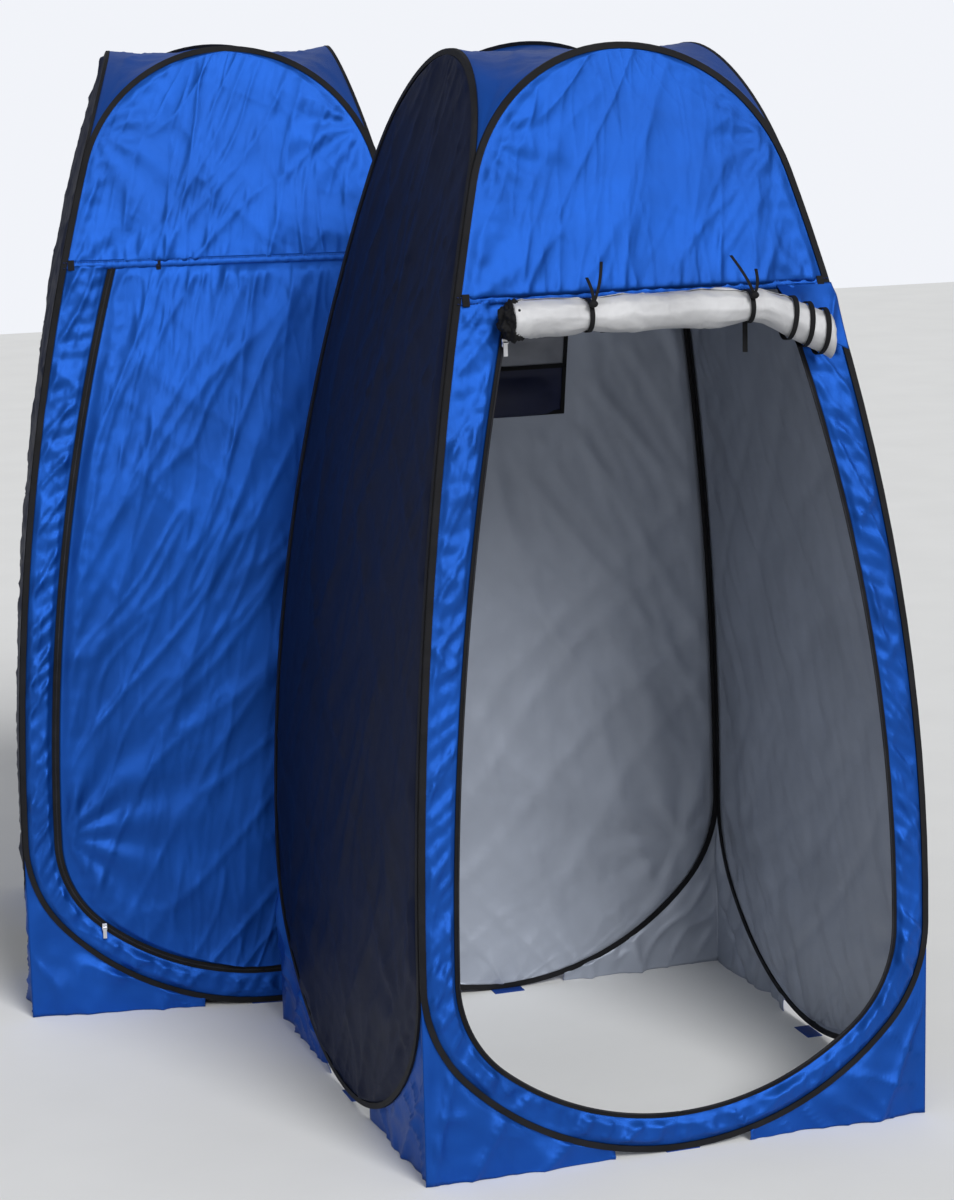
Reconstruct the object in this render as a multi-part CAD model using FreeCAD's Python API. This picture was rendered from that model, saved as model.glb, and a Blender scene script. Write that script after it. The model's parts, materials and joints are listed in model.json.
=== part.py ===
import FreeCAD, Part
import os
from math import asin, atan2, cos, pi, sin, sqrt

# Pop-up privacy shower tent with two rooms, millimetres, +Z up.
# The origin is on the ground, in the middle of the footprint that both rooms cover.
# The open room's door faces -Y; the closed room stands behind it, turned a little.
# Each room stands on four sprung hoops that lean together at the top: the four wall
# faces bow inwards as they rise, and neighbouring hoops meet along their side edges.

# Driving dimensions of one room
HALF = 530.0            # half the footprint, and half the widest part of a hoop
WIDEST = 400.0          # height of the widest part
HEIGHT = 2130.0         # top of a hoop
CORNER_R = 300.0        # lower corner arc of a hoop
TOP_R = 340.0           # top arc of a hoop
SIDE_R = (HALF**2 + (HEIGHT - TOP_R - WIDEST)**2 - TOP_R**2) / (2 * (HALF - TOP_R))
LIFT = 2.0              # hoops stand this far off the ground

BINDING_W = 12.0        # black binding round each hoop
BINDING_T = 8.0
WIRE_W = 4.0            # sprung steel strip inside the binding
WIRE_T = 3.0
CLOTH_T = 3.0
CLOTH_IN = 2.5          # cloth lies this far inside the outer face
GAP = 0.3               # clearance between sewn neighbours
SIDE_INSET = BINDING_T + 1.0    # side hoops tuck behind the front and back ones

# Front door
DOOR_HALF = 452.0
DOOR_WIDEST = 400.0
DOOR_FOOT = 78.0        # lowest point of the opening
DOOR_CORNER_R = 250.0
DOOR_SIDE_R = 4500.0
HEADER_Z = 1665.0       # seam between the door and the header above it
TAPE_W = 7.0            # zip tape
TAPE_T = 5.0
DOOR_GAP = 2.0

# Places of the two rooms
CLOSED_TURN = -10.4     # degrees, about +Z
CLOSED_STEP = (-436.0, 1159.0)  # from the open room's middle to the closed room's
TURNED_HALF = HALF * (cos(CLOSED_TURN * pi / 180) - sin(CLOSED_TURN * pi / 180))
OPEN_X = (TURNED_HALF - HALF - CLOSED_STEP[0]) / 2
OPEN_Y = -(TURNED_HALF - HALF + CLOSED_STEP[1]) / 2
ROOMS = (("open_room", OPEN_X, OPEN_Y, 0.0),
         ("closed_room", OPEN_X + CLOSED_STEP[0], OPEN_Y + CLOSED_STEP[1], CLOSED_TURN))

# Rolled door of the open room
ROLL_R = 30.0
ROLL_Z = HEADER_Z - 35.0
ROLL_OUT = 8.0          # clear of the wall behind it
ROLL_X = (-290.0, 215.0)
ROLL_END = (338.0, -25.0, -62.0)     # x, then how far out and down the loose end hangs
TIE_X = (-142.0, 183.0)
TIE_W = 9.0
TIE_T = 2.0

# Small parts
TAB_W = 70.0            # ground tabs
TAB_D = 34.0
TAB_T = 2.0
GUSSET_GAP = 140.0      # half the free stretch between two corner gussets
POCKET_X = (-133.0, 100.0)    # seen from behind
POCKET_Z = (1325.0, 1505.0)
WINDOW_Z = 1437.0       # foot of the see-through upper part of the pocket
TOWEL_TAB = (-225.0, -209.0, 1500.0, 1530.0)    # seen from behind
STRAP_X = 200.0
STRAP_L = 130.0
LINK_W = 40.0           # strap that ties the two rooms together
LINK_T = 2.0
LINK_Z = 6.0
SLIDER = (11.0, 6.0, 16.0)
PIN_R = 1.0
PIN_OUT = 3.0           # the pin stands this far in front of the block
PULLER_L = 26.0
ZIP_TOP = 1585.0        # open room's slider, parked at the top of the opening
ZIP_TURN = 0.9          # closed room's slider: angle below the corner arc's level

V = FreeCAD.Vector


def sag(z, radius=SIDE_R, widest=WIDEST):
    """How far a side arc has come in from its widest part at height z."""
    rise = max(z - widest, 0.0)
    return radius - sqrt(radius**2 - rise**2)


def face_at(z):
    """Distance of a wall's outer face from the room's middle at height z."""
    return HALF - sag(z)


def arc(centre, radius, start, end):
    """An arc in the XZ plane between two angles, in radians."""
    angles = (start, (start + end) / 2, end)
    points = [V(centre[0] + radius * cos(a), 0, centre[1] + radius * sin(a)) for a in angles]
    return Part.Arc(*points).toShape()


def tub_edges(half, widest, foot, corner_r, side_r, inset):
    """Right half of a hoop's lower outline: bottom and corner arcs, and the side arc's data."""
    rise = widest - foot
    bottom_r = ((half - corner_r)**2 + rise**2 - corner_r**2) / (2 * (rise - corner_r))
    turn = atan2(widest - foot - bottom_r, half - corner_r)
    bottom = arc((0, foot + bottom_r), bottom_r - inset, -pi / 2, turn)
    corner = arc((half - corner_r, widest), corner_r - inset, turn, 0)
    side = ((half - side_r, widest), side_r - inset)
    return bottom, corner, side


def prism(edges, depth=3000.0):
    """Close a right-hand outline with its mirror image and extrude it along Y, both ways."""
    mirrored = [e.mirror(V(0, 0, 0), V(1, 0, 0)) for e in edges]
    ends = [edges[-1].Vertexes[-1].Point, mirrored[-1].Vertexes[-1].Point]
    points = list(edges) + mirrored
    if ends[0].distanceToPoint(ends[1]) > 0.01:
        points.append(Part.makeLine(V(abs(ends[0].x), 0, ends[0].z), V(-abs(ends[0].x), 0, ends[0].z)))
    wire = Part.Wire(Part.__sortEdges__(points))
    solid = Part.Face(wire).extrude(V(0, depth, 0))
    return solid.translated(V(0, -depth / 2, 0))


def hoop(inset):
    """Everything inside a hoop's outline, moved in by inset, as a prism along Y."""
    bottom, corner, side = tub_edges(HALF, WIDEST, 0.0, CORNER_R, SIDE_R, inset)
    top_centre = (0, HEIGHT - TOP_R)
    turn = atan2(top_centre[1] - side[0][1], top_centre[0] - side[0][0])
    return prism([bottom, corner, arc(side[0], side[1], 0, turn),
                  arc(top_centre, TOP_R - inset, turn, pi / 2)])


def doorway(inset, top=HEADER_Z):
    """Everything inside the door's outline, moved in by inset, up to a level top."""
    bottom, corner, side = tub_edges(DOOR_HALF, DOOR_WIDEST, DOOR_FOOT, DOOR_CORNER_R,
                                     DOOR_SIDE_R, inset)
    turn = asin((top - inset - DOOR_WIDEST) / side[1])
    return prism([bottom, corner, arc(side[0], side[1], 0, turn)])


def layer(outer, inner):
    """A wall-wide sheet on the front face, between two depths in from the outer face."""
    def edge(depth):
        low = V(0, depth - HALF, -10)
        widest = V(0, depth - HALF, WIDEST)
        curve = [V(0, depth - face_at(z), z) for z in (WIDEST, (WIDEST + HEIGHT) / 2, HEIGHT + 10)]
        return Part.makeLine(low, widest), Part.Arc(*curve).toShape()
    near, far = edge(outer), edge(inner)
    foot = Part.makeLine(near[0].Vertexes[0].Point, far[0].Vertexes[0].Point)
    head = Part.makeLine(near[1].Vertexes[-1].Point, far[1].Vertexes[-1].Point)
    wire = Part.Wire(Part.__sortEdges__([*near, head, *far, foot]))
    sheet = Part.Face(wire).extrude(V(2 * HALF + 100, 0, 0))
    return sheet.translated(V(-HALF - 50, 0, 0))


def slab(low, high):
    """A box wider than a room between two heights."""
    return Part.makeBox(4 * HALF, 4 * HALF, high - low, V(-2 * HALF, -2 * HALF, low))


def turned(shape, angle):
    """A copy turned about the room's upright axis."""
    copy = shape.copy()
    copy.rotate(V(0, 0, 0), V(0, 0, 1), angle)
    return copy


def placed(shape, room):
    """A copy turned and moved to its room."""
    return turned(shape, room[3]).translated(V(room[1], room[2], 0))


def save(name, *shapes):
    """Write one node, which holds one or more separate solids."""
    solids = [s for shape in shapes for s in shape.Solids]
    assert solids and all(s.isValid() and s.Volume > 1 for s in solids), name
    Part.makeCompound(solids).exportStep("parts/" + name + ".step")
    box = Part.makeCompound(solids).BoundBox
    print(f"{name:32s} {len(solids)} solids  z {box.ZMin:7.1f} {box.ZMax:7.1f}")


def bound_hoop(inset):
    """A binding with a closed channel, and the sprung strip that lies in it."""
    mid = inset + BINDING_W / 2
    ring = hoop(inset).cut(hoop(inset + BINDING_W)).common(layer(0, BINDING_T))
    depth = (BINDING_T - WIRE_T) / 2
    strip = hoop(mid - WIRE_W / 2).cut(hoop(mid + WIRE_W / 2)).common(layer(depth, depth + WIRE_T))
    room = hoop(mid - WIRE_W / 2 - GAP).cut(hoop(mid + WIRE_W / 2 + GAP))
    channel = room.common(layer(depth - GAP, depth + WIRE_T + GAP))
    return ring.cut(channel), strip


def cloth(inset):
    """A whole wall of cloth inside a binding that starts at inset."""
    return hoop(inset + BINDING_W + GAP).common(layer(CLOTH_IN, CLOTH_IN + CLOTH_T))


def octagon(z, shrink):
    """Corners of a level section through the shoulders, where the top arcs draw in."""
    rise = z - (HEIGHT - TOP_R)
    narrow = sqrt(max(TOP_R**2 - rise**2, 900.0)) - shrink / 2
    wide = face_at(z) - shrink
    corners = [(narrow, -wide), (wide, -narrow), (wide, narrow), (narrow, wide),
               (-narrow, wide), (-wide, narrow), (-wide, -narrow), (-narrow, -wide)]
    return [V(x, y, z - shrink) for x, y in corners]


def stacked(levels, shrink):
    """A closed solid of flat faces through the octagons at the given levels."""
    rings = [octagon(z, shrink) for z in levels]
    loops = [rings[0], rings[-1]]
    for low, high in zip(rings, rings[1:]):
        for i in range(8):
            j = (i + 1) % 8
            loops.append([low[i], low[j], high[j]])
            loops.append([low[i], high[j], high[i]])
    core = V(0, 0, (levels[0] + levels[-1]) / 2)
    faces = []
    for loop in loops:
        outward = (loop[1] - loop[0]).cross(loop[2] - loop[0]).dot(loop[0] - core)
        if outward < 0:
            loop.reverse()
        faces.append(Part.Face(Part.makePolygon(loop + loop[:1])))
    return Part.Solid(Part.Shell(faces))


def roof():
    """The cloth that closes the room between the four top arcs, in one piece."""
    foot = HEIGHT - TOP_R + TOP_R * sin(atan2(HEIGHT - TOP_R - WIDEST, SIDE_R - HALF)) + 30
    head = HEIGHT - BINDING_T
    steps = 5
    levels = [foot + (head - foot) * (1 - (1 - i / steps)**2) for i in range(steps + 1)]
    shell = stacked(levels, 1.0).cut(stacked([levels[0] - 15] + levels, 1.0 + CLOTH_T))
    wall = layer(-100, BINDING_T + 1)
    for quarter in range(4):
        shell = shell.cut(turned(wall, 90 * quarter))
    return shell


def corner_gussets():
    """Four cloth corners between the hoops' lower arcs and the ground."""
    size = 2 * HALF
    thin = size - 2 * CLOTH_T
    tube = Part.makeBox(size, size, WIDEST, V(-HALF, -HALF, 0))
    tube = tube.cut(Part.makeBox(thin, thin, WIDEST, V(-thin / 2, -thin / 2, 0)))
    free = 2 * GUSSET_GAP
    for inset, angle in ((LIFT, 0), (SIDE_INSET, 90)):
        tube = tube.cut(turned(hoop(inset - GAP), angle))
        tube = tube.cut(turned(Part.makeBox(free, 2 * size, WIDEST, V(-GUSSET_GAP, -size, 0)), angle))
    return tube


def ground_tabs():
    """Flat webbing tabs that hold each wall's foot to the ground."""
    tab = Part.makeBox(TAB_W, TAB_D, TAB_T - GAP, V(-TAB_W / 2, -HALF, 0))
    return [turned(tab, 90 * quarter) for quarter in range(4)]


def patch(angle, x_span, z_span, near, far):
    """A patch that follows one wall between two depths in from its outer face."""
    size = (x_span[1] - x_span[0], 2 * HALF, z_span[1] - z_span[0])
    flat = Part.makeBox(*size, V(x_span[0], -2 * HALF, z_span[0]))
    return turned(layer(near, far).common(flat), angle)


def edge_tabs():
    """Small tabs sewn where the header seam meets the hoops."""
    x = face_at(HEADER_Z)
    span = (HEADER_Z - 11, HEADER_Z + 11)
    return [patch(0, (x - 30, x - 16), span, -4, -0.5), patch(0, (16 - x, 30 - x), span, -4, -0.5)]


def slider_body(x, z):
    """Zip slider: a rounded block on the tape, with a pin held between two lugs."""
    width, depth, height = SLIDER
    y = -face_at(z) - depth - 1.0
    block = Part.makeBox(width, depth, height, V(x - width / 2, y, z - height / 2))
    block = block.makeFillet(1.5, block.Edges)
    pivot = V(x, y - PIN_OUT, z)
    block = block.fuse(Part.makeCylinder(PIN_R, width, pivot - V(width / 2, 0, 0), V(1, 0, 0)))
    for lug in (-width / 2, width / 2 - 1.0):
        block = block.fuse(Part.makeBox(1.0, PIN_OUT + 3.5, 3.0, V(x + lug, y - PIN_OUT - 1.5, z - 1.5)))
    return block.removeSplitter(), pivot


def puller(pivot):
    """Pull tab that hangs from the slider's pin."""
    plate = Part.makeBox(8, 1.6, PULLER_L, V(pivot.x - 4, pivot.y - 0.8, pivot.z - PULLER_L + PIN_R))
    eye = Part.makeCylinder(PIN_R + 1.2, 8, V(pivot.x - 4, pivot.y, pivot.z), V(1, 0, 0))
    bore = Part.makeCylinder(PIN_R + 0.1, 10, V(pivot.x - 5, pivot.y, pivot.z), V(1, 0, 0))
    return plate.fuse(eye).cut(bore)


def roll_axis():
    """Points along the middle of the rolled door."""
    y = -face_at(ROLL_Z) - ROLL_R - ROLL_OUT
    end = V(ROLL_END[0], y + ROLL_END[1], ROLL_Z + ROLL_END[2])
    return V(ROLL_X[0], y, ROLL_Z), V(ROLL_X[1], y, ROLL_Z), end


def rolled_door():
    """The door rolled up and tied under the header."""
    start, bend, end = roll_axis()
    straight = Part.makeCylinder(ROLL_R, bend.x - start.x, start, V(1, 0, 0))
    droop = Part.makeCylinder(ROLL_R - 1, (end - bend).Length, bend, end - bend)
    return straight.fuse(Part.makeSphere(ROLL_R - 0.5, bend)).fuse(droop).removeSplitter()


def door_ties():
    """Webbing loops round the rolled door."""
    loops = []
    start = roll_axis()[0]
    for x in TIE_X:
        outer = Part.makeCylinder(ROLL_R + GAP + TIE_T, TIE_W, V(x, start.y, start.z), V(1, 0, 0))
        loops.append(outer.cut(Part.makeCylinder(ROLL_R + GAP, TIE_W, V(x, start.y, start.z), V(1, 0, 0))))
    return loops


def hanging_strap():
    """A strap that hangs inside the doorway from the header seam."""
    return Part.makeBox(10, 1.6, STRAP_L, V(STRAP_X, 4 - face_at(HEADER_Z), HEADER_Z + 1.5 - STRAP_L))


def build_room(room):
    """All the pieces that both rooms have."""
    name = room[0]
    strips = []
    for side, inset, angle in (("front", LIFT, 0), ("right", SIDE_INSET, 90),
                               ("back", LIFT, 180), ("left", SIDE_INSET, 270)):
        binding, strip = bound_hoop(inset)
        save(f"{name}_{side}_binding", placed(turned(binding, angle), room))
        strips.append(placed(turned(strip, angle), room))
        if side != "front":
            save(f"{name}_{side}_wall", placed(turned(cloth(inset), angle), room))
    save(f"{name}_spring_hoops", *strips)
    front = cloth(LIFT)
    save(f"{name}_front_header", placed(front.common(slab(HEADER_Z + 2, HEIGHT + 10)), room))
    border = front.common(slab(-10, HEADER_Z)).cut(doorway(-TAPE_W - GAP, HEADER_Z + 200))
    left_half = Part.makeBox(2 * HALF, 4 * HALF, HEIGHT, V(-2 * HALF - 0.2, -2 * HALF, 0))
    save(f"{name}_left_border", placed(border.common(left_half), room))
    save(f"{name}_right_border", placed(border.common(left_half.mirror(V(0, 0, 0), V(1, 0, 0))), room))
    tape = doorway(-TAPE_W, HEADER_Z + 200).cut(doorway(0, HEADER_Z + 200)).common(slab(-10, HEADER_Z))
    tape = tape.common(layer(CLOTH_IN - 1, CLOTH_IN - 1 + TAPE_T))
    save(f"{name}_frame_zip_tape", placed(tape, room))
    save(f"{name}_roof", placed(roof(), room))
    save(f"{name}_corner_gussets", placed(corner_gussets(), room))
    save(f"{name}_ground_tabs", *[placed(t, room) for t in ground_tabs()])
    save(f"{name}_edge_tabs", *[placed(t, room) for t in edge_tabs()])


def build_zip(room, x, z):
    """Slider and the puller on its pin."""
    block, pivot = slider_body(x, z)
    save(f"{room[0]}_zip_slider", placed(block, room))
    save(f"{room[0]}_zip_puller", placed(puller(pivot), room))
    print(room[0], "puller pivot, in the room's own frame", pivot)


def build_closed_door(room):
    """The door flap of the closed room and the zip tape on its edge."""
    door = layer(CLOTH_IN, CLOTH_IN + CLOTH_T).common(slab(0, HEADER_Z - DOOR_GAP))
    flap = door.common(doorway(DOOR_GAP + TAPE_W + GAP, HEADER_Z + 200))
    tape = doorway(DOOR_GAP, HEADER_Z + 200).cut(doorway(DOOR_GAP + TAPE_W, HEADER_Z + 200))
    tape = tape.common(layer(CLOTH_IN - 1, CLOTH_IN - 1 + TAPE_T)).common(slab(0, HEADER_Z - DOOR_GAP))
    save(f"{room[0]}_door_flap", placed(flap, room))
    save(f"{room[0]}_door_zip_tape", placed(tape, room))
    tab = patch(0, (-175, -165), (HEADER_Z - 40, HEADER_Z + 12), -1.5, 1)
    save(f"{room[0]}_door_tie", placed(tab, room))


def build_open_door(room):
    """What the open room shows round its doorway and inside it."""
    save(f"{room[0]}_rolled_door", placed(rolled_door(), room))
    save(f"{room[0]}_roll_ties", *[placed(t, room) for t in door_ties()])
    save(f"{room[0]}_hanging_strap", placed(hanging_strap(), room))
    near = CLOTH_IN + CLOTH_T + GAP
    pocket = patch(180, POCKET_X, (POCKET_Z[0], WINDOW_Z), near, near + 6)
    window = patch(180, POCKET_X, (WINDOW_Z + GAP, POCKET_Z[1]), near, near + 3)
    save(f"{room[0]}_pocket", placed(pocket, room))
    save(f"{room[0]}_pocket_window", placed(window, room))
    save(f"{room[0]}_towel_tab", placed(patch(180, TOWEL_TAB[:2], TOWEL_TAB[2:], near, near + 4), room))


def link_strap():
    """Webbing that ties the closed room's near corner to the open room's back wall."""
    open_room, closed_room = ROOMS
    corner = placed(Part.Vertex(HALF, -HALF, 0), closed_room).Point
    start = V(corner.x - LINK_W - 5, open_room[2] + HALF + 0.5, LINK_Z)
    strap = Part.makeBox(LINK_W, LINK_W, LINK_T, start)
    size = 2 * HALF + 1
    return strap.cut(placed(Part.makeBox(size, size, HEIGHT, V(-size / 2, -size / 2, 0)), closed_room))


os.makedirs("parts", exist_ok=True)
open_room, closed_room = ROOMS
for one in ROOMS:
    build_room(one)
build_zip(open_room, sag(ZIP_TOP, DOOR_SIDE_R, DOOR_WIDEST) - DOOR_HALF, ZIP_TOP)
build_zip(closed_room, DOOR_CORNER_R * (1 - cos(ZIP_TURN)) - DOOR_HALF,
          DOOR_WIDEST - DOOR_CORNER_R * sin(ZIP_TURN))
build_closed_door(closed_room)
build_open_door(open_room)
save("link_strap", link_strap())
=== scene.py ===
import json
import math

import bmesh
import bpy
from bpy.props import FloatProperty, FloatVectorProperty, PointerProperty
from mathutils import Matrix, Vector, noise


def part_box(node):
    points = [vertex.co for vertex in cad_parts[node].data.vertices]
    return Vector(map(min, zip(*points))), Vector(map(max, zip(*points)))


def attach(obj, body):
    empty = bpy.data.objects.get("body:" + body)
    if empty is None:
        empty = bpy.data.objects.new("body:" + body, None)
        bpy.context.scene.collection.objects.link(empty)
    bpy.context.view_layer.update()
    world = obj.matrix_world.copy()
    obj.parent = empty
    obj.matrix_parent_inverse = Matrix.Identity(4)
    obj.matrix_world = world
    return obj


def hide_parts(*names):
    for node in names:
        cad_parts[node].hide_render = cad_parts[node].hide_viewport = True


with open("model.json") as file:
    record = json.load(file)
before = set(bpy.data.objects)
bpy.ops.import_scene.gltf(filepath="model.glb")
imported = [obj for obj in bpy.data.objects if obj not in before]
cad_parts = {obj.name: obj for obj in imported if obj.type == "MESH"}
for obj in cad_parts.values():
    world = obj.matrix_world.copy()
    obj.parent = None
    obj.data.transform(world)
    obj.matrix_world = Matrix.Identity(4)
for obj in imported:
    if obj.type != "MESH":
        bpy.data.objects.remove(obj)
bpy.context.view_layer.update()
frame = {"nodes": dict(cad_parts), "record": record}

bl_info = {
    "name": "Pop-up shower tent",
    "version": (1, 0, 0),
    "blender": (4, 5, 0),
    "location": "View3D > Sidebar > Tent",
    "description": "Cloth, door, zips and fittings of a two-room pop-up shower tent",
    "category": "Object",
}

ROOMS = ("open_room", "closed_room")
QUARTERS = {"front": 0, "right": 90, "back": 180, "left": 270}

# Shape of one hoop, in metres: the same driving dimensions as the frame's
BINDING = 0.0123        # binding and the clearance inside it
CORNER_R = 0.300
TOP_R = 0.340
WIDEST = 0.400
HEIGHT = 2.130
CLOTH_DEPTH = 0.0035    # the cloth's middle, in from the wall's outer face
DOOR_HALF = 0.452
DOOR_FOOT = 0.078
DOOR_CORNER_R = 0.250
DOOR_SIDE_R = 4.500
TAPE = 0.0073
ROLL_BEND = 0.215       # where the rolled door starts to droop, right of the room's middle
ROLL_FORWARD = 0.25     # how far its loose end leans out and down, per length
ROLL_DROOP = 0.47


def room_middle(room):
    """Middle of a room's footprint, from its gussets' box."""
    low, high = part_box(room + "_corner_gussets")
    return Vector(((low[0] + high[0]) / 2, (low[1] + high[1]) / 2, 0))


def half_footprint():
    """Half the width of one room at its widest."""
    low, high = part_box("open_room_corner_gussets")
    return (high[0] - low[0]) / 2


HALF = half_footprint()
SIDE_R = (HALF**2 + (HEIGHT - TOP_R - WIDEST)**2 - TOP_R**2) / (2 * (HALF - TOP_R))
SEAM_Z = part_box("open_room_front_header")[0][2]
MIDDLE = {room: room_middle(room) for room in ROOMS}
DOOR_HINGE = next(j for j in frame["record"]["behaviour"]["joints"] if j["name"] == "closed_door_swing")
YAW = {"open_room": 0.0, "closed_room": math.atan2(DOOR_HINGE["axis"][1], DOOR_HINGE["axis"][0])}


# ------------------------------------------------------------------ shape of a wall

def face_at(z):
    """Distance from a room's middle to a wall's outer face at height z."""
    rise = max(z - WIDEST, 0)
    return HALF - SIDE_R + math.sqrt(SIDE_R**2 - rise**2)


def arcs_of(half, foot, corner_r, side_r, inset, top):
    """Centre, radius, first and last angle of each arc up the right side of an outline."""
    rise = WIDEST - foot
    bottom_r = ((half - corner_r)**2 + rise**2 - corner_r**2) / (2 * (rise - corner_r))
    turn = math.atan2(WIDEST - foot - bottom_r, half - corner_r)
    arcs = [((0, foot + bottom_r), bottom_r - inset, -math.pi / 2, turn),
            ((half - corner_r, WIDEST), corner_r - inset, turn, 0)]
    if top is None:
        lean = math.atan2(HEIGHT - TOP_R - WIDEST, side_r - half)
        arcs.append(((half - side_r, WIDEST), side_r - inset, 0, lean))
        arcs.append(((0, HEIGHT - TOP_R), TOP_R - inset, lean, math.pi / 2))
    else:
        arcs.append(((half - side_r, WIDEST), side_r - inset, 0,
                     math.asin((top - WIDEST) / (side_r - inset))))
    return arcs


def outline_point(arcs, share):
    """The point a share of the way from the foot to the top of an outline."""
    lengths = [abs(radius * (last - first)) for _, radius, first, last in arcs]
    along = share * sum(lengths)
    for (centre, radius, first, last), length in zip(arcs, lengths):
        if along <= length or (centre, radius, first, last) == arcs[-1]:
            angle = first + (last - first) * min(along / length, 1)
            return centre[0] + radius * math.cos(angle), centre[1] + radius * math.sin(angle)
        along -= length


def hoop_arcs(inset, top=None):
    """A hoop's outline, moved in by inset."""
    return arcs_of(HALF, 0.0, CORNER_R, SIDE_R, inset, top)


def door_arcs(inset, top):
    """The doorway's outline, moved in by inset."""
    return arcs_of(DOOR_HALF, DOOR_FOOT, DOOR_CORNER_R, DOOR_SIDE_R, inset, top)


def share_at(arcs, z, steps=30):
    """The share of an outline's length that lies below height z."""
    low, high = 0.0, 1.0
    for _ in range(steps):
        mid = (low + high) / 2
        if outline_point(arcs, mid)[1] < z:
            low = mid
        else:
            high = mid
    return low


def half_width(arcs, z):
    """Half the width of an outline at height z, above its foot."""
    return outline_point(arcs, share_at(arcs, z, steps=24))[0]


def on_wall(room, side, x, z, out):
    """A point of a wall: x across it, z up, and out from the cloth's rest place."""
    y = CLOTH_DEPTH - face_at(z) - out
    point = Vector((x, y, z))
    point.rotate(Matrix.Rotation(math.radians(QUARTERS[side]) + YAW[room], 3, "Z"))
    return point + MIDDLE[room]


# ------------------------------------------------------------------ folds in the cloth

def rough(x, z, seed, scale=1.0):
    """Smooth noise from -1 to 1."""
    return noise.noise(Vector((x * scale, z * scale, seed * 7.31)))


def crease(x, z, seed, scale, stretch, angle):
    """Sharp-crested folds that run in one direction, from 0 to 1."""
    along = x * math.cos(angle) + z * math.sin(angle)
    across = z * math.cos(angle) - x * math.sin(angle)
    wander = 0.07 * rough(x, z, seed + 3, 2.0)
    value = noise.noise(Vector((along * scale / stretch, (across + wander) * scale, seed * 5.17)))
    return (1 - abs(value) * 2.2)**4 if abs(value) < 0.45 else 0.0


def fan(x, z, origin, spread, count, seed):
    """Folds that fan out from a pulled point and fade with distance."""
    dx, dz = x - origin[0], z - origin[1]
    reach = math.hypot(dx, dz)
    angle = math.atan2(dz, dx)
    wave = math.sin(angle * count + 2.2 * rough(x, z, seed, 3.0) + seed)
    return wave * min(reach / 0.10, 1) * math.exp(-reach / spread)


def puckers(along, away, seed, period=0.034, depth=0.045):
    """Short gathers at right angles to a seam, from its needle holes outwards."""
    wave = math.sin(2 * math.pi * along / period + 3.5 * rough(along, 0, seed, 9.0))
    return wave * (0.55 + 0.45 * rough(along, away, seed + 1, 14.0)) * math.exp(-abs(away) / depth)


def pleats(x, z, away, seed):
    """Upright gathers that a seam sends into the cloth: fine short ones and broader long ones."""
    out = 0.0028 * crease(x, z, seed, 26.0, 9.0, math.pi / 2) * math.exp(-away / 0.11)
    out += 0.0045 * crease(x, z, seed + 2, 14.0, 9.0, math.pi / 2 - 0.12) * math.exp(-away / 0.20)
    return out + 0.0020 * puckers(x, away, seed + 1, 0.030, 0.03)


def shell_folds(x, z, seed, cross=1.0):
    """Folds that every panel has: billows, and creases whose second direction cross weakens."""
    out = 0.0065 * rough(x, z, seed, 1.9)
    out += 0.0056 * crease(x, z, seed, 4.0, 6.0, 1.25)
    out += cross * 0.0044 * crease(x, z, seed + 11, 7.0, 7.0, -0.85)
    out += 0.0038 * crease(x, z, seed + 17, 10.0, 6.0, 0.95)
    out += 0.0028 * crease(x, z, seed + 23, 17.0, 5.0, 1.15)
    out += cross * 0.0016 * crease(x, z, seed + 31, 27.0, 4.0, -0.6)
    out += 0.0012 * crease(x, z, seed + 37, 34.0, 5.0, 1.40)
    return out


def held_back(room, side, x, out):
    """Keep folds out of the narrow gap between the rooms.

    The open room's back wall folds inwards. The closed room's front and right
    panels fold out by 3 mm at most beside their shared corner.
    """
    if room == "open_room" and side == "back":
        return min(-out, 0.003)
    if room == "closed_room" and side in ("front", "right"):
        reach = x if side == "front" else -x
        return min(out, 0.003 + 0.15 * max(0.40 - reach, 0))
    return out


def edge_fade(gap, width=0.03):
    """0 at a sewn edge, 1 once the cloth is width away from it."""
    share = min(max(gap / width, 0), 1)
    return share * share * (3 - 2 * share)


# ------------------------------------------------------------------ materials

def new_material(name):
    """An empty material, its tree, and its Principled shader."""
    material = bpy.data.materials.new(name)
    material.use_nodes = True
    shader = material.node_tree.nodes["Principled BSDF"]
    return material, material.node_tree, shader


def node(tree, kind, **inputs):
    """Add a node and set its named inputs."""
    made = tree.nodes.new(kind)
    for label, value in inputs.items():
        made.inputs[label.replace("_", " ")].default_value = value
    return made


def group_shell(name, ins, outs):
    """An empty node group with the given number inputs and outputs."""
    tree = bpy.data.node_groups.new(name, "ShaderNodeTree")
    tree.interface.new_socket("Vector", in_out="INPUT", socket_type="NodeSocketVector")
    for label, default in ins:
        socket = tree.interface.new_socket(label, in_out="INPUT", socket_type="NodeSocketFloat")
        socket.default_value = default
    for label in outs:
        tree.interface.new_socket(label, in_out="OUTPUT", socket_type="NodeSocketFloat")
    return tree, tree.nodes.new("NodeGroupInput"), tree.nodes.new("NodeGroupOutput")


def math_node(tree, operation, first, second):
    """A Math node fed by sockets or plain numbers."""
    made = tree.nodes.new("ShaderNodeMath")
    made.operation = operation
    for slot, value in zip(made.inputs, (first, second)):
        if isinstance(value, (int, float)):
            slot.default_value = value
        else:
            tree.links.new(value, slot)
    return made.outputs[0]


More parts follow.
